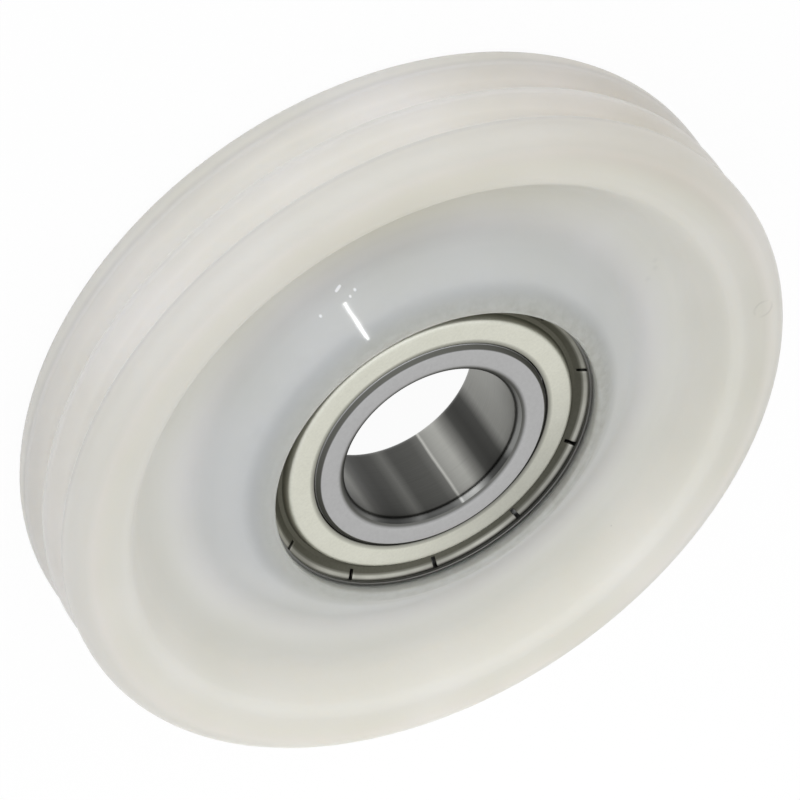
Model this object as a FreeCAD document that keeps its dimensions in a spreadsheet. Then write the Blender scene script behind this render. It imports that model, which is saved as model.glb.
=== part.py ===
import FreeCAD, Part
import math
import os
import Sketcher
from FreeCAD import Vector

# A twin-groove rope pulley: a nylon wheel moulded round a shielded deep-groove ball bearing.
# Millimetres and degrees. The axle runs along Z, the photographed face looks to +Z and the
# origin is the middle of the bearing.

sizes = {
    # Bearing rings, from the axle outwards: they add up to a 20 x 42 x 12 mm bearing
    "axle_diameter": 20.0,
    "inner_ring_wall": 3.5,
    "race_gap": 4.0,
    "outer_ring_wall": 3.5,
    "ring_corner": 0.7,
    "inner_face_bevel": 0.5,
    # Balls and their tracks
    "ball_diameter": 6.35,
    "ball_count": 9,
    "ball_clearance": 0.01,
    "track_ease": 0.125,
    # Riveted ribbon cage
    "cage_sheet": 0.45,
    "cage_clearance": 0.8,
    "pocket_clearance": 0.125,
    "rivet_diameter": 1.0,
    "rivet_clearance": 0.02,
    "rivet_head_diameter": 1.8,
    "rivet_head_height": 0.4,
    "rivet_head_round": 0.3,
    # Pressed shields and their seats
    "shield_sheet": 0.35,
    "shield_cage_gap": 0.55,
    "shield_bore_clearance": 0.25,
    "shield_recess": 0.35,
    "shield_channel_depth": 1.0,
    "shield_channel_width": 0.5,
    "shield_wall_angle": 68.0,
    "shield_lip_width": 1.3,
    "shield_bend": 0.15,
    "shield_clearance": 0.05,
    "seat_step": 1.4,
    "mouth_lip": 0.4,
    "mouth_depth": 0.4,
    "mouth_clearance": 0.1,
    "slot_count": 11,
    "slot_width": 0.45,
    "slot_margin": 0.25,
    "slot_phase": 1.8,
    # Nylon wheel, from the bearing outwards: hub, web and rim
    "ring_face_shown": 0.25,
    "hub_proud": 1.45,
    "hub_lip_width": 0.9,
    "hub_lip_round": 0.35,
    "hub_crown_round": 1.5,
    "hub_slope_width": 6.45,
    "valley_round": 2.5,
    "web_thickness": 5.6,
    "web_width": 6.25,
    "rim_foot_round": 3.0,
    "rim_slope_width": 2.95,
    "rim_edge_round": 2.0,
    "rim_width": 6.3,
    "wheel_corner": 2.1,
    # Rope grooves, from the middle of the wheel's width outwards
    "ridge_width": 0.7,
    "groove_mouth_width": 4.3,
    "groove_depth": 2.8,
    "groove_radius": 1.6,
    "groove_edge_round": 0.4,
    "crest_width": 3.25,
}

doc = FreeCAD.newDocument("rope_pulley")
sheet = doc.addObject("Spreadsheet::Sheet", "Sizes")
for row, (alias, value) in enumerate(sizes.items(), 1):
    sheet.set(f"A{row}", alias)
    sheet.set(f"B{row}", str(value))
    sheet.setAlias(f"B{row}", alias)
doc.recompute()


def cell(alias):
    return f"Sizes.{alias}"


def half(alias):
    return f"Sizes.{alias} / 2"


def number(expression):
    return float(sheet.evalExpression(expression))


def plane(body, role):
    return next(item for item in body.Origin.OriginFeatures if item.Role == role)


def drive(sketch, kind, value, *ends):
    # A size of the sketch that follows the sheet.
    index = sketch.addConstraint(Sketcher.Constraint(kind, *ends, number(value)))
    sketch.setExpression(f"Constraints[{index}]", value)


def outline(sketch, corners):
    # A closed outline. Each corner is a radius, a height and, where it is rounded, a third size.
    # The sharp corner stays in the sketch as a point, and the sheet places it.
    spots = [Vector(number(corner[0]), number(corner[1]), 0) for corner in corners]
    rounds = [number(corner[2]) if len(corner) > 2 else 0.0 for corner in corners]
    count = len(corners)
    cuts = []
    for index, spot in enumerate(spots):
        back = (spots[index - 1] - spot).normalize()
        ahead = (spots[(index + 1) % count] - spot).normalize()
        setback = rounds[index] / math.tan(back.getAngle(ahead) / 2) if rounds[index] else 0.0
        cuts.append((spot + back * setback, spot + ahead * setback, back + ahead))
    sides = []
    for index in range(count):
        segment = Part.LineSegment(cuts[index][1], cuts[(index + 1) % count][0])
        sides.append(sketch.addGeometry(segment, False))
    for index, corner in enumerate(corners):
        before, after = sides[index - 1], sides[index]
        if rounds[index]:
            start, end, inward = cuts[index]
            bisector = inward.normalize()
            opening = (start - spots[index]).getAngle(bisector)
            middle = spots[index] + bisector * rounds[index] * (1 / math.sin(opening) - 1)
            arc = sketch.addGeometry(Part.Arc(start, middle, end), False)
            anchor = sketch.addGeometry(Part.Point(spots[index]), True)
            first, last = arc_ends(sketch, arc, start)
            sketch.addConstraint(Sketcher.Constraint("Tangent", before, 2, arc, first))
            sketch.addConstraint(Sketcher.Constraint("Tangent", after, 1, arc, last))
            sketch.addConstraint(Sketcher.Constraint("PointOnObject", anchor, 1, before))
            sketch.addConstraint(Sketcher.Constraint("PointOnObject", anchor, 1, after))
            drive(sketch, "Radius", corner[2], arc)
            spot = anchor
        else:
            sketch.addConstraint(Sketcher.Constraint("Coincident", before, 2, after, 1))
            spot = after
        drive(sketch, "DistanceX", corner[0], -1, 1, spot, 1)
        drive(sketch, "DistanceY", corner[1], -1, 1, spot, 1)


def arc_ends(sketch, arc, start):
    # Which end of the arc, 1 or 2, lies at start, and then the other.
    near = sketch.getPoint(arc, 1).distanceToPoint(start) < sketch.getPoint(arc, 2).distanceToPoint(start)
    return (1, 2) if near else (2, 1)


def both_faces(corners):
    # An outline of the upper half, from the bore outwards, and its mirror image below.
    return corners + [(corner[0], f"-({corner[1]})", *corner[2:]) for corner in reversed(corners)]


def turned(label, corners):
    # A body turned round the axle.
    body = doc.addObject("PartDesign::Body", label)
    body.Label = label
    sketch = body.newObject("Sketcher::SketchObject", label + "_outline")
    sketch.AttachmentSupport = [(plane(body, "XZ_Plane"), "")]
    sketch.MapMode = "FlatFace"
    outline(sketch, corners)
    turn = body.newObject("PartDesign::Revolution", label + "_turn")
    turn.Profile = sketch
    turn.ReferenceAxis = (sketch, ["V_Axis"])
    turn.Angle = 360.0
    doc.recompute()
    return body


def cut_track(body, centre):
    # The round track of the balls in a ring.
    before = body.Shape.Volume
    sketch = body.newObject("Sketcher::SketchObject", body.Name + "_track")
    sketch.AttachmentSupport = [(plane(body, "XZ_Plane"), "")]
    sketch.MapMode = "FlatFace"
    spot = Vector(number(centre), 0, 0)
    radius = number(track)
    circle = sketch.addGeometry(Part.Circle(spot, Vector(0, 0, 1), radius), False)
    sketch.addConstraint(Sketcher.Constraint("PointOnObject", circle, 3, -1))
    drive(sketch, "DistanceX", centre, -1, 1, circle, 3)
    drive(sketch, "Radius", track, circle)
    groove = body.newObject("PartDesign::Groove", body.Name + "_groove")
    groove.Profile = sketch
    groove.ReferenceAxis = (sketch, ["V_Axis"])
    groove.Angle = 360.0
    doc.recompute()
    assert body.Shape.Volume < before, f"{body.Label}: the ball track cuts nothing"


# Radii and heights that several pieces share

bore = half("axle_diameter")
inner_shoulder = f"({bore} + Sizes.inner_ring_wall)"
pitch = f"({inner_shoulder} + {half('race_gap')})"
outer_shoulder = f"({inner_shoulder} + Sizes.race_gap)"
bearing_edge = f"({outer_shoulder} + Sizes.outer_ring_wall)"
ball = half("ball_diameter")
track = f"({ball} + Sizes.track_ease)"
pocket = f"({ball} + Sizes.pocket_clearance)"
pocket_back = f"({pocket} + Sizes.cage_sheet)"
channel_back = f"({pocket_back} + Sizes.shield_cage_gap)"
channel_height = f"({channel_back} + Sizes.shield_sheet)"
flat_height = f"({channel_height} + Sizes.shield_channel_depth)"
face = f"({flat_height} + Sizes.shield_recess)"
seat = f"({outer_shoulder} + Sizes.seat_step)"
seat_floor = f"({channel_back} - Sizes.shield_clearance)"
mouth = f"({seat} - Sizes.mouth_lip)"
mouth_back = f"({face} - Sizes.mouth_depth)"

# Inner ring

inner_ring = turned("inner_ring", both_faces([
    (bore, face, cell("ring_corner")),
    (f"{inner_shoulder} - Sizes.inner_face_bevel", face),
    (inner_shoulder, f"{face} - Sizes.inner_face_bevel"),
]))
cut_track(inner_ring, f"{pitch} - {ball} - Sizes.ball_clearance + {track}")

# Outer ring, with a seat under a narrower mouth at each face for the shield's crimped edge

outer_ring = turned("outer_ring", both_faces([
    (outer_shoulder, seat_floor),
    (seat, seat_floor),
    (seat, mouth_back),
    (mouth, mouth_back),
    (mouth, face),
    (bearing_edge, face, cell("ring_corner")),
]))
cut_track(outer_ring, f"{pitch} + {ball} + Sizes.ball_clearance - {track}")

# Balls, evenly round the track

ball_count = int(number(cell("ball_count")))
balls = []
for index in range(ball_count):
    item = doc.addObject("Part::Sphere", f"ball_{index + 1}")
    item.Label = f"ball_{index + 1}"
    item.setExpression("Radius", ball)
    turn = f"{index} * 360 deg / Sizes.ball_count"
    item.setExpression("Placement.Base.x", f"{pitch} * cos({turn})")
    item.setExpression("Placement.Base.y", f"{pitch} * sin({turn})")
    balls.append(item)

# Cage: two ribbons that wrap half of each ball and lie flat against each other between the balls

band_inner = f"{inner_shoulder} + Sizes.cage_clearance"
band_outer = f"{outer_shoulder} - Sizes.cage_clearance"
rivet_turn = "180 deg / Sizes.ball_count"
rivet_hole = f"{half('rivet_diameter')} + Sizes.rivet_clearance"


def cylinder(name, radius, height, base=None):
    item = doc.addObject("Part::Cylinder", name)
    item.setExpression("Radius", radius)
    item.setExpression("Height", height)
    if base:
        item.setExpression("Placement.Base.z", base)
    return item


def sphere_ring(name, radius):
    group = []
    for index in range(ball_count):
        item = doc.addObject("Part::Sphere", f"{name}_{index + 1}")
        item.setExpression("Radius", radius)
        item.setExpression("Placement.Base.x", f"ball_{index + 1}.Placement.Base.x")
        item.setExpression("Placement.Base.y", f"ball_{index + 1}.Placement.Base.y")
        group.append(item)
    return group


def cut(name, base, tool):
    item = doc.addObject("Part::Cut", name)
    item.Base = base
    item.Tool = tool
    return item


def joined(kind, name, shapes):
    item = doc.addObject(kind, name)
    item.Shapes = shapes
    return item


def rivet_holes(name):
    holes = []
    for index in range(ball_count):
        hole = cylinder(f"{name}_{index + 1}", rivet_hole, "4 * Sizes.cage_sheet", "-2 * Sizes.cage_sheet")
        turn = f"({index} * 360 deg / Sizes.ball_count + {rivet_turn})"
        hole.setExpression("Placement.Base.x", f"{pitch} * cos({turn})")
        hole.setExpression("Placement.Base.y", f"{pitch} * sin({turn})")
        holes.append(hole)
    return joined("Part::MultiFuse", name, holes)


def cage_half(label):
    flat = cylinder(label + "_flat", band_outer, cell("cage_sheet"))
    domes = joined("Part::MultiFuse", label + "_domes", [flat] + sphere_ring(label + "_dome", pocket_back))
    ring = cut(label + "_band",
               cylinder(label + "_band_outer", band_outer, pocket_back),
               cylinder(label + "_band_inner", band_inner, pocket_back))
    ribbon = joined("Part::MultiCommon", label + "_ribbon", [domes, ring])
    pockets = joined("Part::MultiFuse", label + "_pockets", sphere_ring(label + "_pocket", pocket))
    open_ribbon = cut(label + "_open", ribbon, pockets)
    item = cut(label, open_ribbon, rivet_holes(label + "_holes"))
    item.Label = label
    return item


front_cage = cage_half("front_cage")
rear_cage = cage_half("rear_cage")
rear_cage.Placement.Rotation = FreeCAD.Rotation(Vector(1, 0, 0), 180)

# Cage rivets, one between each two balls, with a low head on both ribbons

cage_rivets = doc.addObject("PartDesign::Body", "cage_rivets")
cage_rivets.Label = "cage_rivets"
cage_rivets.AllowCompound = True
rivet_sketch = cage_rivets.newObject("Sketcher::SketchObject", "rivet_outline")
rivet_sketch.AttachmentSupport = [(plane(cage_rivets, "XZ_Plane"), "")]
rivet_sketch.MapMode = "FlatFace"
head_top = "Sizes.cage_sheet + Sizes.rivet_head_height"
outline(rivet_sketch, both_faces([
    (f"{pitch} + {half('rivet_diameter')}", cell("cage_sheet")),
    (f"{pitch} + {half('rivet_head_diameter')}", cell("cage_sheet")),
    (f"{pitch} + {half('rivet_head_diameter')}", head_top, cell("rivet_head_round")),
    (pitch, head_top),
]))
top = Vector(number(pitch), number(head_top), 0)
centre_line = rivet_sketch.addGeometry(Part.LineSegment(Vector(top.x, -top.y, 0), top), True)
rivet_sketch.addConstraint(Sketcher.Constraint("Vertical", centre_line))
drive(rivet_sketch, "DistanceX", pitch, -1, 1, centre_line, 1)
drive(rivet_sketch, "DistanceY", f"-({head_top})", -1, 1, centre_line, 1)
drive(rivet_sketch, "DistanceY", head_top, -1, 1, centre_line, 2)
rivet = cage_rivets.newObject("PartDesign::Revolution", "rivet")
rivet.Profile = rivet_sketch
rivet.ReferenceAxis = (rivet_sketch, ["Axis0"])
rivet.Angle = 360.0
doc.recompute()
rivets = cage_rivets.newObject("PartDesign::PolarPattern", "rivets")
rivets.Originals = [rivet]
rivets.Axis = (plane(cage_rivets, "Z_Axis"), [""])
rivets.Angle = 360.0
rivets.setExpression("Occurrences", cell("ball_count"))
cage_rivets.Tip = rivets
cage_rivets.Placement.Rotation = FreeCAD.Rotation(Vector(0, 0, 1), number("180 / Sizes.ball_count"))

# Shields: pressed sheet with a channel round its flat and a crimped lip, slit all round

lip_rise = f"({mouth_back} - Sizes.mouth_clearance - {channel_height})"
lip_turn = f"atan({lip_rise} / Sizes.shield_lip_width)"
wall_turn = "Sizes.shield_wall_angle * 1 deg"
lip_edge = f"({seat} - Sizes.shield_clearance - Sizes.shield_sheet * sin({lip_turn}))"
channel_end = f"({lip_edge} - Sizes.shield_lip_width)"
channel_start = f"({channel_end} - Sizes.shield_channel_width)"
flat_edge = f"({channel_start} - Sizes.shield_channel_depth / tan({wall_turn}))"
shield_bore = f"({inner_shoulder} + Sizes.shield_bore_clearance)"
lip_height = f"({channel_height} + {lip_rise})"
wall_shift = f"Sizes.shield_sheet * tan({wall_turn} / 2)"
lip_shift = f"Sizes.shield_sheet * tan({lip_turn} / 2)"
flat_back = f"({flat_height} - Sizes.shield_sheet)"
inside_bend = cell("shield_bend")
outside_bend = "Sizes.shield_bend + Sizes.shield_sheet"


def shield(label):
    body = turned(label, [
        (shield_bore, flat_back),
        (shield_bore, flat_height),
        (flat_edge, flat_height, outside_bend),
        (channel_start, channel_height, inside_bend),
        (channel_end, channel_height, inside_bend),
        (lip_edge, lip_height),
        (f"{lip_edge} + Sizes.shield_sheet * sin({lip_turn})",
         f"{lip_height} - Sizes.shield_sheet * cos({lip_turn})"),
        (f"{channel_end} + {lip_shift}", channel_back, outside_bend),
        (f"{channel_start} - {wall_shift}", channel_back, outside_bend),
        (f"{flat_edge} - {wall_shift}", flat_back, inside_bend),
    ])
    before = body.Shape.Volume
    sketch = body.newObject("Sketcher::SketchObject", label + "_slot_outline")
    sketch.AttachmentSupport = [(plane(body, "XY_Plane"), "")]
    sketch.MapMode = "FlatFace"
    slot_start = f"{channel_end} + Sizes.slot_margin"
    slot_side = half("slot_width")
    outline(sketch, [
        (slot_start, f"-({slot_side})"),
        (bearing_edge, f"-({slot_side})"),
        (bearing_edge, slot_side),
        (slot_start, slot_side),
    ])
    slot = body.newObject("PartDesign::Pocket", label + "_slot")
    slot.Profile = sketch
    slot.Type = "ThroughAll"
    slot.Midplane = True
    doc.recompute()
    slots = body.newObject("PartDesign::PolarPattern", label + "_slots")
    slots.Originals = [slot]
    slots.Axis = (plane(body, "Z_Axis"), [""])
    slots.Angle = 360.0
    slots.setExpression("Occurrences", cell("slot_count"))
    body.Tip = slots
    doc.recompute()
    assert body.Shape.Volume < before, f"{label}: the slots cut nothing"
    return body


slot_turn = FreeCAD.Rotation(Vector(0, 0, 1), number(cell("slot_phase")))
front_shield = shield("front_shield")
front_shield.Placement.Rotation = slot_turn
rear_shield = shield("rear_shield")
rear_shield.Placement.Rotation = FreeCAD.Rotation(Vector(1, 0, 0), 180).multiply(slot_turn)

# Nylon wheel, moulded round the outer ring, with its two rope grooves

hub_mouth = f"({mouth} + Sizes.ring_face_shown)"
hub_top = f"({face} + Sizes.hub_proud)"
hub_lip = f"({hub_mouth} + Sizes.hub_lip_width)"
web = half("web_thickness")
hub_slope = f"atan(({hub_top} - {web}) / Sizes.hub_slope_width)"
crown_room = f"0.9 * (Sizes.hub_lip_width - Sizes.hub_lip_round) / tan({hub_slope} / 2)"
valley = f"({hub_lip} + Sizes.hub_slope_width)"
rim_foot = f"({valley} + Sizes.web_width)"
rim_edge = f"({rim_foot} + Sizes.rim_slope_width)"
crest = f"({rim_edge} + Sizes.rim_width)"

groove_side = half("groove_mouth_width")
groove_middle = f"({half('ridge_width')} + {groove_side})"
land = f"({groove_middle} + {groove_side} + Sizes.crest_width)"
groove_drop = "(Sizes.groove_depth - Sizes.groove_radius)"
flank = (f"(acos(Sizes.groove_radius / sqrt(({groove_side}) ^ 2 + {groove_drop} ^ 2))"
         f" - atan({groove_drop} / ({groove_side})))")
groove_point = f"({groove_drop} + Sizes.groove_radius / sin({flank}))"
ridge_room = f"0.9 * {half('ridge_width')} / tan(45 deg - {flank} / 2)"
edge_round = f"min(Sizes.groove_edge_round; {ridge_room})"

pulley_wheel = turned("pulley_wheel", both_faces([
    (bearing_edge, face, cell("ring_corner")),
    (hub_mouth, face),
    (hub_mouth, hub_top, cell("hub_lip_round")),
    (hub_lip, hub_top, f"min(Sizes.hub_crown_round; {crown_room})"),
    (valley, web, cell("valley_round")),
    (rim_foot, web, cell("rim_foot_round")),
    (rim_edge, land, cell("rim_edge_round")),
    (crest, land, cell("wheel_corner")),
    (crest, f"{groove_middle} + {groove_side}", edge_round),
    (f"{crest} - {groove_point}", groove_middle, cell("groove_radius")),
    (crest, f"{groove_middle} - {groove_side}", edge_round),
]))

# Checks, then one file for each sub-part

sub_parts = [pulley_wheel, outer_ring, inner_ring, front_shield, rear_shield,
             front_cage, rear_cage, cage_rivets] + balls

doc.recompute()
for item in doc.Objects:
    broken = [word for word in item.State if word in ("Invalid", "Error")]
    assert not broken, f"{item.Label}: {broken}"

os.makedirs("parts", exist_ok=True)
for item in sub_parts:
    shape = item.Shape
    assert not shape.isNull(), f"{item.Label} is empty"
    assert shape.isValid(), f"{item.Label} is not valid"
    wanted = ball_count if item is cage_rivets else 1
    assert len(shape.Solids) == wanted, f"{item.Label} has {len(shape.Solids)} solids"
    shape.exportStep(f"parts/{item.Label}.step")
    box = shape.optimalBoundingBox()
    print(f"{item.Label}: {shape.Volume:.2f} mm3, {box.XLength:.2f} x {box.YLength:.2f} x {box.ZLength:.2f} mm")
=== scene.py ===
import math

import bmesh
import bpy
from mathutils import Matrix, Vector


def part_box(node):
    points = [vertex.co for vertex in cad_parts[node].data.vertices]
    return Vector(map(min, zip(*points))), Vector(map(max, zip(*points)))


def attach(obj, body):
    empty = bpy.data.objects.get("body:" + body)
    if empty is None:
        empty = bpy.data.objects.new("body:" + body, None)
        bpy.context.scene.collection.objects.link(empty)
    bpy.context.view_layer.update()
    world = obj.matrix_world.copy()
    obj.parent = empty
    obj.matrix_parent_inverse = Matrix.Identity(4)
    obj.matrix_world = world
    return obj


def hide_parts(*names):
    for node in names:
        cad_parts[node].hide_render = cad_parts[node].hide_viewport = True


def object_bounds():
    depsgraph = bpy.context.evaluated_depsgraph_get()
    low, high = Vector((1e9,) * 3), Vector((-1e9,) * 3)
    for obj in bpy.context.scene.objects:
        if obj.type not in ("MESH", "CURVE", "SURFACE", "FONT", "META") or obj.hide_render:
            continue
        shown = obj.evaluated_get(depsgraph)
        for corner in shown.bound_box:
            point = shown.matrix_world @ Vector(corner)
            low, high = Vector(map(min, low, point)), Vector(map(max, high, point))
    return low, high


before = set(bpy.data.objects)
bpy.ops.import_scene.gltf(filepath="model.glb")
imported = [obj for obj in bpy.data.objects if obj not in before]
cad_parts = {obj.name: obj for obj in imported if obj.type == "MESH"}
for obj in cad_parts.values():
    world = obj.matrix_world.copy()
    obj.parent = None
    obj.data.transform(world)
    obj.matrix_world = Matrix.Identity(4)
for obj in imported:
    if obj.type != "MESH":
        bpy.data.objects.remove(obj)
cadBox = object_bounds()
mm = 0.001
fullTurn = 2 * math.pi
weldReach = 0.001 * mm
origin = Vector((0, 0, 0))
axle = Vector((0, 0, 1))
across = Vector((0, 1, 0))  # an outline is drawn in the XZ plane, so this is its normal
print("frame loaded,", len(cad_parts), "nodes")


# Outlines and turning


def bothFaces(corners):
    # the upper half of an outline, from the bore outwards, and its mirror image below
    return corners + [(corner[0], -corner[1], *corner[2:]) for corner in reversed(corners)]


def roundedOutline(mesh, corners, closed=True, arcStep=math.radians(9)):
    # corners are (radius, height) or (radius, height, rounding)
    spots = [Vector((corner[0], 0, corner[1])) * mm for corner in corners]
    count = len(spots)
    ends = []
    for i, corner in enumerate(corners):
        arriving = (spots[i] - spots[i - 1]).normalized()
        leaving = (spots[(i + 1) % count] - spots[i]).normalized()
        if len(corner) > 2:
            turn = math.atan2(arriving.cross(leaving).dot(across), arriving.dot(leaving))
            radius = corner[2] * mm
            start = spots[i] - arriving * radius * math.tan(abs(turn) / 2)
            middle = start + across.cross(arriving) * math.copysign(radius, turn)
            first = mesh.verts.new(start)
            steps = max(3, round(abs(turn) / arcStep))
            spun = bmesh.ops.spin(mesh, geom=[first], cent=middle, axis=across, angle=turn, steps=steps)
            ends.append((first, spun["geom_last"][0]))
        else:
            spot = mesh.verts.new(spots[i])
            ends.append((spot, spot))
    for i in range(count if closed else count - 1):
        mesh.edges.new((ends[i][1], ends[(i + 1) % count][0]))
    return ends


def divideLongEdges(mesh, longest):
    # flats get a few more points, so that their shading stays flat beside a rounding
    for edge in list(mesh.edges):
        cuts = int(edge.calc_length() / (longest * mm))
        if cuts:
            bmesh.ops.subdivide_edges(mesh, edges=[edge], cuts=cuts)


def turnFully(mesh, steps, sectors=16):
    # one sector is spun in steps, then repeated all round and joined
    bmesh.ops.spin(mesh, geom=mesh.verts[:] + mesh.edges[:], cent=origin, axis=axle,
                   angle=fullTurn / sectors, steps=steps // sectors)
    repeatRound(mesh, sectors)
    bmesh.ops.recalc_face_normals(mesh, faces=mesh.faces)


def repeatRound(mesh, sectors):
    bmesh.ops.spin(mesh, geom=mesh.verts[:] + mesh.edges[:] + mesh.faces[:], cent=origin, axis=axle,
                   angle=fullTurn * (sectors - 1) / sectors, steps=sectors - 1, use_duplicate=True)
    bmesh.ops.remove_doubles(mesh, verts=mesh.verts, dist=weldReach)


def finishPiece(mesh, name, body, nodes, material):
    data = bpy.data.meshes.new(name)
    mesh.to_mesh(data)
    mesh.free()
    for polygon in data.polygons:
        polygon.use_smooth = True
    data.materials.append(material)
    piece = bpy.data.objects.new(name, data)
    bpy.context.scene.collection.objects.link(piece)
    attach(piece, body)
    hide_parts(*nodes)
    print(name, "made,", len(data.polygons), "faces")
    return piece


def turnedPiece(name, corners, steps, longest, body, node, material):
    mesh = bmesh.new()
    roundedOutline(mesh, corners)
    divideLongEdges(mesh, longest)
    turnFully(mesh, steps)
    return finishPiece(mesh, name, body, [node], material)


# Materials


def paint(red, green, blue):
    # a screen colour, 0 to 255, as the linear colour that the shader reads
    def straight(part):
        part = part / 255
        return part / 12.92 if part <= 0.04045 else ((part + 0.055) / 1.055) ** 2.4
    return straight(red), straight(green), straight(blue), 1


def newMaterial(name, settings):
    material = bpy.data.materials.new(name)
    material.use_nodes = True
    shader = material.node_tree.nodes["Principled BSDF"]
    for socket, value in settings.items():
        shader.inputs[socket].default_value = value
    return material, material.node_tree, shader


def newSteel(name, roughness, **settings):
    return newMaterial(name, {"Metallic": 1.0, "Roughness": roughness, **settings})


def addNode(tree, kind, inputs, **settings):
    # inputs holds a value or another node's output for each socket, by number or name
    node = tree.nodes.new("ShaderNode" + kind)
    for name, value in settings.items():
        setattr(node, name, value)
    for socket, value in inputs.items():
        if isinstance(value, bpy.types.NodeSocket):
            tree.links.new(value, node.inputs[socket])
        else:
            node.inputs[socket].default_value = value
    return node


def calculate(tree, operation, first, second=0.0, third=0.0):
    return addNode(tree, "Math", {0: first, 1: second, 2: third}, operation=operation).outputs[0]


def objectPlace(tree):
    # place in the pulley's own frame, distance from the axle, turn about it and height along it
    place = addNode(tree, "TexCoord", {}).outputs["Object"]
    parts = addNode(tree, "SeparateXYZ", {0: place}).outputs
    level = addNode(tree, "CombineXYZ", {0: parts[0], 1: parts[1]}).outputs[0]
    distance = addNode(tree, "VectorMath", {0: level}, operation="LENGTH").outputs["Value"]
    turn = calculate(tree, "ARCTAN2", parts[1], parts[0])
    return place, distance, turn, parts[2]


def apart(tree, level, spot):
    # distance from one spot, given in millimetres, as seen along the axle
    spot = (spot[0] * mm, spot[1] * mm, 0)
    return addNode(tree, "VectorMath", {0: level, 1: spot}, operation="DISTANCE").outputs["Value"]


def fade(tree, value, low, high, start=0.0, end=1.0, soft=False):
    # goes from start to end while the value goes from low to high
    return addNode(tree, "MapRange", {0: value, 1: low, 2: high, 3: start, 4: end},
                   interpolation_type="SMOOTHSTEP" if soft else "LINEAR").outputs[0]


def lobe(tree, turn, middle, power):
    # 1 at the middle turn and 0 from a quarter turn away, narrower with a higher power
    share = calculate(tree, "COSINE", calculate(tree, "SUBTRACT", turn, math.radians(middle)))
    return calculate(tree, "POWER", calculate(tree, "MAXIMUM", share, 0.0), power)


def ramp(tree, factor, low, high, stops):
    # colours at given values of the factor
    node = addNode(tree, "ValToRGB", {0: fade(tree, factor, low, high)})
    elements = node.color_ramp.elements
    while len(elements) < len(stops):
        elements.new(0.5)
    for element, (value, colour) in zip(elements, sorted(stops.items())):
        element.position = (value - low) / (high - low)
        element.color = colour
    return node.outputs[0]


def tonesOutwards(tree, distance, low, high, tones):
    # screen colours at given distances from the axle, in millimetres
    stops = {radius * mm: paint(*colour) for radius, colour in tones.items()}
    return ramp(tree, distance, low * mm, high * mm, stops)


def noise(tree, vector, scale, detail=2.0, roughness=0.5):
    inputs = {"Vector": vector, "Scale": scale, "Detail": detail, "Roughness": roughness}
    return addNode(tree, "TexNoise", inputs).outputs[0]


def mixed(tree, factor, first, second, blend="MIX"):
    node = addNode(tree, "Mix", {}, data_type="RGBA", blend_type=blend)
    for socket, value in ((0, factor), (6, first), (7, second)):
        if isinstance(value, bpy.types.NodeSocket):
            tree.links.new(value, node.inputs[socket])
        else:
            node.inputs[socket].default_value = value
    return node.outputs[2]


def bumped(tree, shader, socket, height, depth):
    node = addNode(tree, "Bump", {"Height": height, "Distance": depth * mm, "Strength": 1.0})
    tree.links.new(node.outputs[0], shader.inputs[socket])


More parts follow.
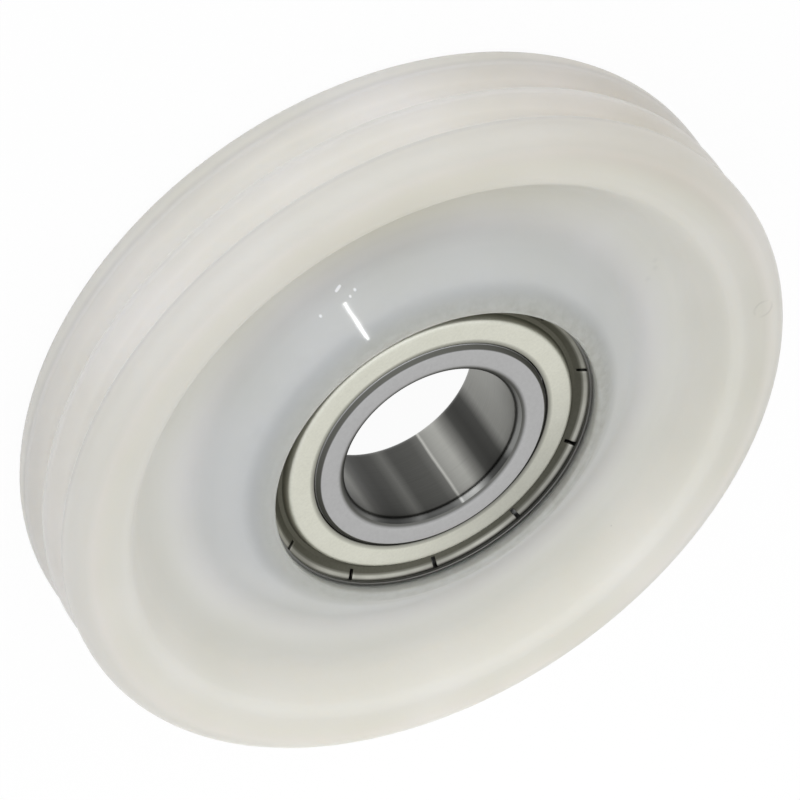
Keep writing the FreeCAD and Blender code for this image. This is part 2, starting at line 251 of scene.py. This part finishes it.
nylonLook = {
    "specular": 0.25, "refraction": 1.53, "soakDepth": 4.0, "soakShares": (1.0, 0.95, 0.88),
    # the tone by radius is partly painted light and shade: darker towards the bearing, lightest at the rim's
    # foot and darker again towards the outer corner
    "tones": {18.7: (166, 167, 162), 20.5: (188, 189, 185), 22: (206, 207, 205), 24.5: (207, 208, 206),
              27: (215, 214, 211), 30: (219, 218, 211), 33: (230, 228, 220), 34.5: (228, 226, 218),
              36.2: (223, 221, 213), 38: (225, 223, 214), 39.4: (224, 221, 214), 40.2: (215, 213, 206),
              41.6: (210, 208, 202)},
    # the circumference, painted light: groove walls painted paler, standing for light through the thin nylon,
    # and the crests between them painted darker
    "rimPaintedLight": {38.8: (238, 236, 232), 39.9: (234, 232, 228), 40.6: (223, 221, 217), 41.2: (211, 209, 205),
                 41.4: (203, 201, 197), 41.6: (197, 195, 191)},
    "rimFrom": 38.0, "rimFullTo": 4.9, "rimEnd": 5.5,  # its least radius, its height and where it has gone
    # painted light and shade round the wheel: middle turn, narrowness, radii where it starts, is full, fades
    # and ends, and its tint, which lightens where it is over 255
    "paintedLightAndShade": [(252, 4, 26, 30, 35.5, 39, (249, 247, 242)), (100, 4, 19.5, 21.5, 26, 29, (242, 241, 240)),
              (207, 8, 37, 39, 43, 44, (245, 243, 241)), (165, 4, 31, 34, 38.5, 40, (243, 243, 242)),
              (320, 4, 33, 35, 43, 44, (250, 250, 250)), (15, 3, 25, 26.5, 28.5, 30.5, (263, 263, 263)),
              (255, 5, 25, 26.5, 28.5, 30, (245, 245, 245))],
    "cloud": {"scale": 70, "low": (250, 250, 247), "high": (255, 255, 255)},
    # the hub's cone and valley are glossy, the web and rim are satin
    "glossyTo": 28.5, "satinFrom": 30.5, "hubRoughness": 0.3, "satinRoughness": 0.48, "rimRoughness": 0.6,
    "smear": {"scale": 180, "change": 0.08},
    "grain": {"scale": 1500, "depth": 0.006},
    "coat": {"weight": 0.8, "roughness": 0.07, "from": 20.3, "full": 21.1, "middle": 0.55, "swing": -0.45},
    "ripple": {"scale": 500, "depth": 0.003},
    # darker grey close to the bearing, patchy and more on one side
    "greyNearBearing": {"colour": (150, 149, 142), "full": 18.9, "end": 21.5, "turn": 154.7, "middle": 0.45,
              "swing": 0.3, "scale": 900},
    # handling marks on the front: a faint ring on the rim and smudges on the web; and painted sparkles, white
    # dots where the lamp glints in tiny dents of the glossy skin
    "markColour": (0.1, 0.1, 0.09, 1),  # linear
    "scuff": {"spot": (-37.08, 10.24), "radius": 1.05, "width": 0.25, "share": 0.13, "scale": 800},
    "smudges": {"spots": [(-29.95, 0.54), (-28.72, 1.35), (-30.4, -0.5)], "radius": 0.55, "share": 0.06},
    "paintedSparkles": [(-1.1, -25.64, 0.19), (-1.24, -25.69, 0.21), (-1.38, -25.74, 0.22), (-1.52, -25.79, 0.21),
              (-1.66, -25.84, 0.19), (-2.7, -24.72, 0.2), (-1.94, -24.51, 0.18), (1.64, -24.6, 0.2)],
    "specks": {"scale": 190, "few": 0.82, "inside": 0.008, "outside": 0.028, "share": 0.3},
}


def nylonTones(tree, place, distance, turn, height):
    # the colour, with its painted light and shade, and the share of the circumference's own finish
    look = nylonLook
    # tone by radius, partly painted light and shade
    base = tonesOutwards(tree, distance, 18, 42, look["tones"])
    # painted light on the circumference: paler groove walls, darker crests
    rim = tonesOutwards(tree, distance, 38.5, 41.7, look["rimPaintedLight"])
    side = calculate(tree, "ABSOLUTE", height)
    onRim = fade(tree, side, look["rimFullTo"] * mm, look["rimEnd"] * mm, 1, 0)
    beyond = calculate(tree, "GREATER_THAN", distance, look["rimFrom"] * mm)
    onRim = calculate(tree, "MULTIPLY", onRim, beyond)
    base = mixed(tree, onRim, base, rim)
    cloud = noise(tree, place, look["cloud"]["scale"], 1)
    tint = ramp(tree, cloud, 0, 1, {0.3: paint(*look["cloud"]["low"]), 0.7: paint(*look["cloud"]["high"])})
    base = mixed(tree, 1.0, base, tint, "MULTIPLY")
    # painted light and shade, lighter or darker on some sides of the wheel
    for middle, power, start, full, fading, end, tint in look["paintedLightAndShade"]:
        share = calculate(tree, "MULTIPLY", lobe(tree, turn, middle, power),
                          fade(tree, distance, start * mm, full * mm))
        share = calculate(tree, "MULTIPLY", share, fade(tree, distance, fading * mm, end * mm, 1, 0))
        base = mixed(tree, share, base, paint(*tint), "MULTIPLY")
    return base, onRim


def greyNearBearingShare(tree, place, distance, turn):
    # soft grey close to the bearing, more on one side
    greyNearBearing = nylonLook["greyNearBearing"]
    near = fade(tree, distance, greyNearBearing["full"] * mm, greyNearBearing["end"] * mm, 1, 0, soft=True)
    towards = calculate(tree, "COSINE", calculate(tree, "SUBTRACT", turn, math.radians(greyNearBearing["turn"])))
    oneSide = calculate(tree, "MULTIPLY_ADD", towards, greyNearBearing["swing"], greyNearBearing["middle"])
    patchy = fade(tree, noise(tree, place, greyNearBearing["scale"], 2, 0.7), 0.35, 0.75)
    return calculate(tree, "MULTIPLY", calculate(tree, "MULTIPLY", near, oneSide), patchy)


def marksAndPaintedSparkles(tree, place, height):
    # dark marks, with a few specks everywhere, and painted sparkles, white dots standing for the lamp's glint
    look = nylonLook
    level = addNode(tree, "VectorMath", {0: place, 1: (1, 1, 0)}, operation="MULTIPLY").outputs[0]
    front = calculate(tree, "GREATER_THAN", height, 0.0)
    scuff, smudges, specks = look["scuff"], look["smudges"], look["specks"]
    off = calculate(tree, "SUBTRACT", apart(tree, level, scuff["spot"]), scuff["radius"] * mm)
    ring = fade(tree, calculate(tree, "ABSOLUTE", off), 0, scuff["width"] * mm, scuff["share"], 0, soft=True)
    broken = fade(tree, noise(tree, place, scuff["scale"], 1), 0.35, 0.6)
    dark = calculate(tree, "MULTIPLY", ring, broken)
    for spot in smudges["spots"]:
        away = apart(tree, level, spot)
        smudge = fade(tree, away, 0, smudges["radius"] * mm, smudges["share"], 0, soft=True)
        dark = calculate(tree, "ADD", dark, smudge)
    dark = calculate(tree, "MULTIPLY", dark, front)
    cells = addNode(tree, "TexVoronoi", {"Vector": place, "Scale": specks["scale"]}).outputs
    lot = addNode(tree, "SeparateColor", {0: cells["Color"]}).outputs[1]
    speck = fade(tree, cells["Distance"], specks["inside"], specks["outside"], specks["share"], 0)
    dark = calculate(tree, "MULTIPLY_ADD", calculate(tree, "GREATER_THAN", lot, specks["few"]), speck, dark)
    clear = 1.0
    for x, y, size in look["paintedSparkles"]:
        outside = fade(tree, apart(tree, level, (x, y)), 0.4 * size * mm, size * mm)
        clear = calculate(tree, "MULTIPLY", clear, outside)
    pale = calculate(tree, "MULTIPLY", calculate(tree, "SUBTRACT", 1.0, clear), front)
    return dark, pale


def nylonMaterial():
    look, coat = nylonLook, nylonLook["coat"]
    material, tree, shader = newMaterial("naturalNylon", {
        "Specular IOR Level": look["specular"], "IOR": look["refraction"], "Subsurface Weight": 1.0,
        "Subsurface Radius": look["soakShares"], "Subsurface Scale": look["soakDepth"] * mm,
        "Coat Roughness": coat["roughness"]})
    place, distance, turn, height = objectPlace(tree)
    base, onRim = nylonTones(tree, place, distance, turn, height)
    base = mixed(tree, greyNearBearingShare(tree, place, distance, turn), base, paint(*look["greyNearBearing"]["colour"]))
    dark, pale = marksAndPaintedSparkles(tree, place, height)
    base = mixed(tree, dark, base, look["markColour"])
    # painted sparkles: white dots where the lamp would glint
    base = mixed(tree, pale, base, (1, 1, 1, 1))
    tree.links.new(base, shader.inputs["Base Color"])
    satin = fade(tree, distance, look["glossyTo"] * mm, look["satinFrom"] * mm)
    rough = calculate(tree, "MULTIPLY_ADD", satin, look["satinRoughness"] - look["hubRoughness"],
                      look["hubRoughness"] - look["smear"]["change"] / 2)
    smear = noise(tree, place, look["smear"]["scale"], 1)
    rough = calculate(tree, "MULTIPLY_ADD", smear, look["smear"]["change"], rough)
    rough = calculate(tree, "MULTIPLY_ADD", onRim, look["rimRoughness"] - look["satinRoughness"], rough)
    tree.links.new(rough, shader.inputs["Roughness"])
    bumped(tree, shader, "Normal", noise(tree, place, look["grain"]["scale"], 1), look["grain"]["depth"])
    # the glossy skin ends at the web, is glossier on one side of the hub and has faint ripples
    skin = fade(tree, distance, coat["from"] * mm, coat["full"] * mm, 0, coat["weight"])
    skin = calculate(tree, "MULTIPLY", skin, calculate(tree, "SUBTRACT", 1.0, satin))
    oneSide = calculate(tree, "MULTIPLY_ADD", calculate(tree, "SINE", turn), coat["swing"], coat["middle"])
    tree.links.new(calculate(tree, "MULTIPLY", skin, oneSide), shader.inputs["Coat Weight"])
    ripple = look["ripple"]
    bumped(tree, shader, "Coat Normal", noise(tree, place, ripple["scale"], 0), ripple["depth"])
    return material


steelLook = {
    "face": {"colour": (206, 206, 206), "darker": 14, "roughness": 0.42, "scale": 2600, "depth": 0.004},
    # painted shade darkens the bore's corner, the bevel and the edges beside each shield, dimming their
    # reflections: shares by radius
    "paintedRingShade": (98, 98, 92),
    "paintedRingShadeShares": {10.3: 1, 10.65: 0.85, 10.85: 0.3, 11.05: 0, 12.98: 0, 13.06: 1, 13.4: 1, 13.48: 0,
                     17.6: 0, 17.9: 0.7, 18.9: 0.7, 19.1: 0},
    "bore": {"roughness": 0.38, "anisotropic": 0.8, "scale": 160, "waver": 0.03, "yellow": 0.94,
             "markLengths": 2.0, "marksPerMetre": 9000, "markChange": 0.3},
    # painted reflections round the bore: grey level at each turn in degrees, with a painted glint line near
    # 87
    "paintedBoreReflections": {0: 108, 22: 130, 29: 92, 36: 72, 44: 68, 52: 80, 59: 108, 65: 80, 72: 84, 80: 90, 86.0: 114,
                  86.7: 235, 87.6: 150, 93: 166, 98: 174, 104: 128, 110: 72, 116: 62, 124: 72, 132: 138,
                  148: 148, 170: 150, 195: 116, 220: 98, 240: 112, 262: 104, 275: 128, 290: 100, 320: 114,
                  340: 106, 360: 108},
    "shield": {"roughness": 0.5, "scale": 1800, "depth": 0.003},
    # the sheet's cream colour by radius, with painted shade at its inner edge, darker in the channel partly
    # from grime and partly painted shade, and a painted highlight along the crimped lip with painted shade
    # beside it
    "shieldColourAndPaintedLight": {13.65: (162, 162, 152), 13.95: (210, 210, 198), 14.2: (252, 252, 239),
                    16.5: (252, 252, 239), 16.74: (180, 179, 164), 16.9: (112, 111, 98),
                    17.02: (100, 99, 87), 17.9: (97, 96, 84), 18.08: (168, 167, 155), 18.18: (224, 223, 211),
                    18.38: (224, 223, 211), 18.5: (150, 149, 140), 18.62: (112, 111, 104)},
    "lipWear": {"colour": (96, 95, 86), "from": 17.95, "scale": 130, "share": 0.5},
    "shieldCloud": {"colour": (190, 188, 170), "scale": 600, "share": 0.16},
    "shieldGrain": {"colour": (150, 149, 138), "scale": 3200, "share": 0.2},
    "shieldShade": {"turn": 110, "power": 3, "tint": (221, 221, 222)},
    "balls": {"colour": (215, 216, 218), "roughness": 0.08},
    "cage": {"colour": (170, 166, 156), "roughness": 0.38},
    "plainMarks": {"scale": 1200, "darker": 16},
}


def darkened(colour, amount):
    return paint(*[part - amount for part in colour])


def ringMaterial():
    look = steelLook["face"]
    material, tree, shader = newSteel("groundRingSteel", look["roughness"])
    place, distance, _, _ = objectPlace(tree)
    grain = noise(tree, place, look["scale"], 3)
    base = mixed(tree, grain, darkened(look["colour"], look["darker"]), paint(*look["colour"]))
    # painted shade by radius
    stops = {radius * mm: (share, share, share, 1) for radius, share in steelLook["paintedRingShadeShares"].items()}
    base = mixed(tree, ramp(tree, distance, 10 * mm, 20 * mm, stops), base, paint(*steelLook["paintedRingShade"]))
    tree.links.new(base, shader.inputs["Base Color"])
    bumped(tree, shader, "Normal", grain, look["depth"])
    return material


def boreMaterial():
    # lengthwise light and dark bands and one bright line, painted reflections of the room and a painted lamp
    # glint on the ground bore
    look = steelLook["bore"]
    material, tree, shader = newSteel("groundBoreSteel", look["roughness"], Anisotropic=look["anisotropic"])
    place, _, turn, height = objectPlace(tree)
    wavering = calculate(tree, "MULTIPLY_ADD", noise(tree, place, look["scale"], 3), look["waver"], turn)
    share = calculate(tree, "DIVIDE", calculate(tree, "WRAP", wavering, fullTurn, 0.0), fullTurn)
    # painted reflections by turn round the bore
    paintedBands = addNode(tree, "FloatCurve", {1: share})
    curve = paintedBands.mapping.curves[0]
    tones = sorted(steelLook["paintedBoreReflections"].items())
    while len(curve.points) < len(tones):
        curve.points.new(0.5, 0.5)
    for point, (angle, tone) in zip(curve.points, tones):
        point.location = (angle / 360, paint(tone, tone, tone)[0])
        point.handle_type = "VECTOR"
    paintedBands.mapping.update()
    # fine marks run round the bore
    stretched = addNode(tree, "CombineXYZ", {
        0: calculate(tree, "MULTIPLY", turn, look["markLengths"]),
        1: calculate(tree, "MULTIPLY", height, look["marksPerMetre"])}).outputs[0]
    marks = calculate(tree, "MULTIPLY_ADD", noise(tree, stretched, 1, 3), look["markChange"],
                      1 - look["markChange"] / 2)
    grey = calculate(tree, "MULTIPLY", paintedBands.outputs[0], marks)
    blue = calculate(tree, "MULTIPLY", grey, look["yellow"])
    base = addNode(tree, "CombineColor", {0: grey, 1: grey, 2: blue}).outputs[0]
    tree.links.new(base, shader.inputs["Base Color"])
    tangent = addNode(tree, "Tangent", {}, direction_type="RADIAL", axis="Z").outputs[0]
    tree.links.new(tangent, shader.inputs["Tangent"])
    return material


def shieldMaterial():
    look, wear, cloud = steelLook["shield"], steelLook["lipWear"], steelLook["shieldCloud"]
    grain, shade = steelLook["shieldGrain"], steelLook["shieldShade"]
    material, tree, shader = newSteel("brightShieldSheet", look["roughness"])
    place, distance, turn, _ = objectPlace(tree)
    # colour by radius with painted light and shade
    base = tonesOutwards(tree, distance, 13.5, 18.7, steelLook["shieldColourAndPaintedLight"])
    worn = fade(tree, noise(tree, place, wear["scale"], 3), 0.35, 0.65, 0, wear["share"])
    worn = calculate(tree, "MULTIPLY", worn, calculate(tree, "GREATER_THAN", distance, wear["from"] * mm))
    base = mixed(tree, worn, base, paint(*wear["colour"]))
    share = calculate(tree, "MULTIPLY", noise(tree, place, cloud["scale"], 4), cloud["share"])
    base = mixed(tree, share, base, paint(*cloud["colour"]), "MULTIPLY")
    share = calculate(tree, "MULTIPLY", noise(tree, place, grain["scale"], 2), grain["share"])
    base = mixed(tree, share, base, paint(*grain["colour"]))
    shaded = mixed(tree, 1.0, base, paint(*shade["tint"]), "MULTIPLY")
    base = mixed(tree, lobe(tree, turn, shade["turn"], shade["power"]), base, shaded)
    tree.links.new(base, shader.inputs["Base Color"])
    bumped(tree, shader, "Normal", noise(tree, place, look["scale"], 3), look["depth"])
    return material


def plainSteel(name, look):
    material, tree, shader = newSteel(name, look["roughness"])
    place, marks = objectPlace(tree)[0], steelLook["plainMarks"]
    base = mixed(tree, noise(tree, place, marks["scale"], 3), darkened(look["colour"], marks["darker"]),
                 paint(*look["colour"]))
    tree.links.new(base, shader.inputs["Base Color"])
    return material


nylon = nylonMaterial()
ringSteel = ringMaterial()
boreSteel = boreMaterial()
shieldSheet = shieldMaterial()
ballSteel = plainSteel("polishedBallSteel", steelLook["balls"])
cageSteel = plainSteel("ribbonCageSteel", steelLook["cage"])
print("materials made")


# Nylon wheel: hub, dished web, rim and two rope grooves in one outline

wheel = {
    "ringRadius": 21.0, "ringFace": 6.0, "ringCorner": 0.7,
    "hubMouth": 18.75, "hubTop": 7.45, "hubLip": 0.9, "lipRound": 0.35, "crownRound": 1.5,
    "valley": 26.1, "webHalf": 2.8, "valleyRound": 4.5,
    "rimFoot": 32.35, "footRound": 3.0, "rimEdge": 35.3, "edgeRound": 2.0, "cornerRound": 2.1,
    "grooveMiddle": 2.5, "grooveSide": 2.15, "grooveDepth": 2.8, "grooveRound": 1.6, "ridgeRound": 0.48,
    "steps": 384, "longest": 0.9,
}


def wheelCorners():
    size = wheel
    crest, land = (part / mm for part in (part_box("pulley_wheel")[1].x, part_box("pulley_wheel")[1].z))
    drop = size["grooveDepth"] - size["grooveRound"]
    flank = math.acos(size["grooveRound"] / math.hypot(size["grooveSide"], drop)) \
        - math.atan(drop / size["grooveSide"])
    point = crest - drop - size["grooveRound"] / math.sin(flank)  # where the groove's flanks would meet
    return bothFaces([
        (size["ringRadius"], size["ringFace"], size["ringCorner"]),
        (size["hubMouth"], size["ringFace"]),
        (size["hubMouth"], size["hubTop"], size["lipRound"]),
        (size["hubMouth"] + size["hubLip"], size["hubTop"], size["crownRound"]),
        (size["valley"], size["webHalf"], size["valleyRound"]),
        (size["rimFoot"], size["webHalf"], size["footRound"]),
        (size["rimEdge"], land, size["edgeRound"]),
        (crest, land, size["cornerRound"]),
        (crest, size["grooveMiddle"] + size["grooveSide"], size["ridgeRound"]),
        (point, size["grooveMiddle"], size["grooveRound"]),
        (crest, size["grooveMiddle"] - size["grooveSide"], size["ridgeRound"]),
    ])


turnedPiece("nylonWheel", wheelCorners(), wheel["steps"], wheel["longest"],
            "sheave", "pulley_wheel", nylon)


# Bearing rings, each with its ball track

rings = {
    "boreRadius": 10.0, "boreCorner": 1.1, "boreReach": 0.42, "innerShoulder": 13.5, "bevel": 0.5,
    "outerShoulder": 17.5, "outerRadius": 21.0, "corner": 0.7, "face": 6.0, "edge": 0.06,
    "seat": 18.9, "seatFloor": 4.25, "mouth": 18.5, "mouthBack": 5.6,
    "pitch": 15.5, "trackOffset": 0.115, "trackRadius": 3.3, "trackSteps": 16,
    "steps": 256, "longest": 0.9,
}


def ringPiece(name, upper, shoulder, trackMiddle, body, node):
    # the outline is open at the track, and an arc closes it
    height = math.sqrt(rings["trackRadius"] ** 2 - (shoulder - trackMiddle) ** 2)
    mesh = bmesh.new()
    ends = roundedOutline(mesh, bothFaces([(shoulder, height), *upper]), closed=False)
    last = mesh.verts.new(ends[-1][0].co)
    swing = math.copysign(2 * math.asin(height / rings["trackRadius"]), trackMiddle - shoulder)
    bmesh.ops.spin(mesh, geom=[last], cent=Vector((trackMiddle, 0, 0)) * mm, axis=across, angle=swing,
                   steps=rings["trackSteps"])
    bmesh.ops.remove_doubles(mesh, verts=mesh.verts, dist=weldReach)
    divideLongEdges(mesh, rings["longest"])
    turnFully(mesh, rings["steps"])
    return finishPiece(mesh, name, body, [node], ringSteel)


innerRing = ringPiece("innerRing", [
    (rings["innerShoulder"], rings["face"] - rings["bevel"], rings["edge"]),
    (rings["innerShoulder"] - rings["bevel"], rings["face"], rings["edge"]),
    (rings["boreRadius"], rings["face"], rings["boreCorner"]),
], rings["innerShoulder"], rings["pitch"] + rings["trackOffset"], "axle_side", "inner_ring")
ringPiece("outerRing", [
    (rings["outerShoulder"], rings["seatFloor"]),
    (rings["seat"], rings["seatFloor"]),
    (rings["seat"], rings["mouthBack"]),
    (rings["mouth"], rings["mouthBack"], rings["edge"]),
    (rings["mouth"], rings["face"], rings["edge"]),
    (rings["outerRadius"], rings["face"], rings["corner"]),
], rings["outerShoulder"], rings["pitch"] - rings["trackOffset"], "sheave", "outer_ring")

innerRing.data.materials.append(boreSteel)
for polygon in innerRing.data.polygons:  # the bore's own finish reaches a little way up its rounded corner
    if math.hypot(polygon.center.x, polygon.center.y) < (rings["boreRadius"] + rings["boreReach"]) * mm:
        polygon.material_index = 1


# Shields: pressed sheet with a channel round its flat and a crimped lip, slit all round

shield = {
    "bore": 13.63, "flatEdge": 16.455, "channelStart": 16.859, "channelEnd": 17.359, "lipEdge": 18.659,
    "flatHeight": 5.65, "channelHeight": 4.65, "lipHeight": 5.5, "outsideBend": 0.5, "insideBend": 0.15,
    "sheet": 0.35, "slots": 11, "slotWidth": 0.45, "slotStart": 17.61, "phase": 1.8, "landSteps": 26,
    "burr": 0.05, "burrSegments": 2, "burrAngle": 50, "arcStep": 12, "longest": 0.5,
}


def shieldOutline(mesh):
    # from the edge round the inner ring out to the tip of the lip, along the sheet's outer side
    size = shield
    slope = (size["lipHeight"] - size["channelHeight"]) / (size["lipEdge"] - size["channelEnd"])
    slotHeight = size["channelHeight"] + slope * (size["slotStart"] - size["channelEnd"])
    roundedOutline(mesh, [
        (size["bore"], size["flatHeight"]),
        (size["flatEdge"], size["flatHeight"], size["outsideBend"]),
        (size["channelStart"], size["channelHeight"], size["insideBend"]),
        (size["channelEnd"], size["channelHeight"], size["insideBend"]),
        (size["slotStart"], slotHeight),
        (size["lipEdge"], size["lipHeight"]),
    ], closed=False, arcStep=math.radians(size["arcStep"]))
    divideLongEdges(mesh, size["longest"])


def turnShield(mesh):
    # the whole outline is spun over one land and only its part inside the slits over one slit
    size = shield
    pitchTurn = fullTurn / size["slots"]
    slotTurn = size["slotWidth"] / ((size["slotStart"] + size["lipEdge"]) / 2)
    startTurn = math.radians(size["phase"]) + slotTurn / 2
    bmesh.ops.rotate(mesh, cent=origin, matrix=Matrix.Rotation(startTurn, 3, "Z"), verts=mesh.verts)
    spun = bmesh.ops.spin(mesh, geom=mesh.verts[:] + mesh.edges[:], cent=origin, axis=axle,
                          angle=pitchTurn - slotTurn, steps=size["landSteps"])
    reach = (size["slotStart"] + 0.01) * mm

    def insideSlits(item):
        spots = item.verts if isinstance(item, bmesh.types.BMEdge) else [item]
        return all(math.hypot(spot.co.x, spot.co.y) < reach for spot in spots)

    inner = [item for item in spun["geom_last"] if insideSlits(item)]
    bmesh.ops.spin(mesh, geom=inner, cent=origin, axis=axle, angle=slotTurn, steps=2)
    repeatRound(mesh, size["slots"])


def shieldPiece(name, node, rear):
    mesh = bmesh.new()
    shieldOutline(mesh)
    turnShield(mesh)
    if rear:
        bmesh.ops.rotate(mesh, cent=origin, matrix=Matrix.Rotation(math.pi, 3, "X"), verts=mesh.verts)
    bmesh.ops.recalc_face_normals(mesh, faces=mesh.faces)
    outward = -axle if rear else axle
    if sum(face.normal.dot(outward) for face in mesh.faces) < 0:
        bmesh.ops.reverse_faces(mesh, faces=mesh.faces)
    piece = finishPiece(mesh, name, "sheave", [node], shieldSheet)
    thicken = piece.modifiers.new("sheet", "SOLIDIFY")
    thicken.thickness = shield["sheet"] * mm
    thicken.offset = -1
    thicken.use_even_offset = True
    soften = piece.modifiers.new("burr", "BEVEL")
    soften.width = shield["burr"] * mm
    soften.segments = shield["burrSegments"]
    soften.limit_method = "ANGLE"
    soften.angle_limit = math.radians(shield["burrAngle"])
    return piece


shieldPiece("frontShield", "front_shield", False)
shieldPiece("rearShield", "rear_shield", True)


# Balls and cage stay as the frame has them, with their own finish

for name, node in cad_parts.items():
    if name.startswith("ball_"):
        node.data.materials.clear()
        node.data.materials.append(ballSteel)
    elif "cage" in name:
        node.data.materials.clear()
        node.data.materials.append(cageSteel)
print("balls and cage given their finish")


# Floor, light and camera

studio = {
    "floorReach": 3.0, "floorColour": (248, 248, 247), "floorWhite": 0.95,  # metres, and the share that glows
    # the room is brighter and cooler towards the viewer, with a bright patch of wall opposite
    "farSide": (0.272, 0.268, 0.256, 1), "nearSide": (1.42, 1.44, 1.50, 1), "alongX": -0.1,
    "patch": (0.0, 0.76, 0.65), "patchGain": 1.05, "patchFocus": 10.0,
}


def makeFloor():
    mesh = bmesh.new()
    bmesh.ops.create_grid(mesh, x_segments=1, y_segments=1, size=studio["floorReach"] / 2)
    bmesh.ops.translate(mesh, vec=(0, 0, cadBox[0].z), verts=mesh.verts)
    data = bpy.data.meshes.new("floor")
    mesh.to_mesh(data)
    mesh.free()
    floor = bpy.data.objects.new("floor", data)
    bpy.context.scene.collection.objects.link(floor)
    material, tree, shader = newMaterial("paleFloor", {
        "Base Color": paint(*studio["floorColour"]), "Roughness": 0.9, "Specular IOR Level": 0.1})
    rays = addNode(tree, "LightPath", {}).outputs
    seen = calculate(tree, "MAXIMUM", rays["Is Camera Ray"], rays["Is Glossy Ray"])
    seen = calculate(tree, "MAXIMUM", seen, rays["Is Transmission Ray"])
    white = addNode(tree, "Emission", {"Color": (1, 1, 1, 1), "Strength": 1.0}).outputs[0]
    share = calculate(tree, "MULTIPLY", seen, studio["floorWhite"])
    both = addNode(tree, "MixShader", {0: share, 1: shader.outputs[0], 2: white}).outputs[0]
    tree.links.new(both, tree.nodes["Material Output"].inputs[0])
    data.materials.append(material)


def makeWorld():
    world = bpy.data.worlds.new("softRoom")
    bpy.context.scene.world = world
    world.use_nodes = True
    tree = world.node_tree
    towards = addNode(tree, "TexCoord", {}).outputs["Generated"]
    parts = addNode(tree, "SeparateXYZ", {0: towards}).outputs
    facing = addNode(tree, "VectorMath", {0: towards, 1: studio["patch"]}, operation="DOT_PRODUCT")
    facing = calculate(tree, "MAXIMUM", facing.outputs["Value"], 0.0)
    patch = calculate(tree, "POWER", facing, studio["patchFocus"])
    light = calculate(tree, "MULTIPLY_ADD", patch, studio["patchGain"], 1.0)
    light = calculate(tree, "MULTIPLY_ADD", parts[0], studio["alongX"], light)
    nearness = calculate(tree, "MULTIPLY_ADD", parts[1], -0.5, 0.5)
    background = tree.nodes["Background"]
    tree.links.new(mixed(tree, nearness, studio["farSide"], studio["nearSide"]), background.inputs[0])
    tree.links.new(light, background.inputs[1])


def makeLamp(name, place, target, size, watts):
    data = bpy.data.lights.new(name, "AREA")
    data.shape = "DISK"
    data.size = size
    data.energy = watts
    lamp = bpy.data.objects.new(name, data)
    bpy.context.scene.collection.objects.link(lamp)
    lamp.location = place
    lamp.rotation_euler = (Vector(target) - Vector(place)).to_track_quat("-Z", "Y").to_euler()
    return lamp


photoView = {
    "target": (-0.03, -2.476, 0.0), "distance": 446.3, "elevation": 40.648, "roll": 144.85,
    "focal": 191.2, "sensor": 36.0,
}


def makeCamera():
    data = bpy.data.cameras.new("photoCamera")
    data.lens = photoView["focal"]
    data.sensor_width = photoView["sensor"]
    camera = bpy.data.objects.new("photoCamera", data)
    bpy.context.scene.collection.objects.link(camera)
    tilt = math.radians(90 - photoView["elevation"])
    spin = Matrix.Rotation(tilt, 4, "X") @ Matrix.Rotation(math.radians(photoView["roll"]), 4, "Z")
    place = Vector(photoView["target"]) + spin.to_3x3() @ Vector((0, 0, photoView["distance"]))
    camera.matrix_world = Matrix.Translation(place * mm) @ spin
    bpy.context.scene.camera = camera
    return camera


# metres and watts; the glint's spot is on the hub's cone, in millimetres and degrees
lamps = {
    "hubGlint": {"radius": 22.0, "height": 5.9, "turn": 267.5, "slope": 35.79, "reach": 1.6,
                 "size": 0.02, "watts": 0.12},
    # these two stand for light through the thin rim, so they leave no glint
    "farLamp": {"place": (0.0792, 0.1372, 0.0223), "size": 0.06, "watts": 0.06},
    "sideLamp": {"place": (0.0573, 0.0993, 0.0803), "size": 0.05, "watts": 0.0057},
}


def makeGlint(camera):
    # the lamp stands where the camera sees it mirrored in the cone
    glint = lamps["hubGlint"]
    turn, slope = math.radians(glint["turn"]), math.radians(glint["slope"])
    outward = Vector((math.cos(turn), math.sin(turn), 0))
    spot = (outward * glint["radius"] + axle * glint["height"]) * mm
    normal = outward * math.sin(slope) + axle * math.cos(slope)
    towards = (camera.location - spot).normalized()
    place = spot + (2 * normal.dot(towards) * normal - towards) * glint["reach"]
    makeLamp("hubGlint", place, spot, glint["size"], glint["watts"])


makeFloor()
makeWorld()
makeGlint(makeCamera())
for name in ("farLamp", "sideLamp"):
    lamp = makeLamp(name, lamps[name]["place"], origin, lamps[name]["size"], lamps[name]["watts"])
    lamp.visible_glossy = False
print("floor, lights and camera made")

bpy.context.scene.view_settings.view_transform = "Standard"
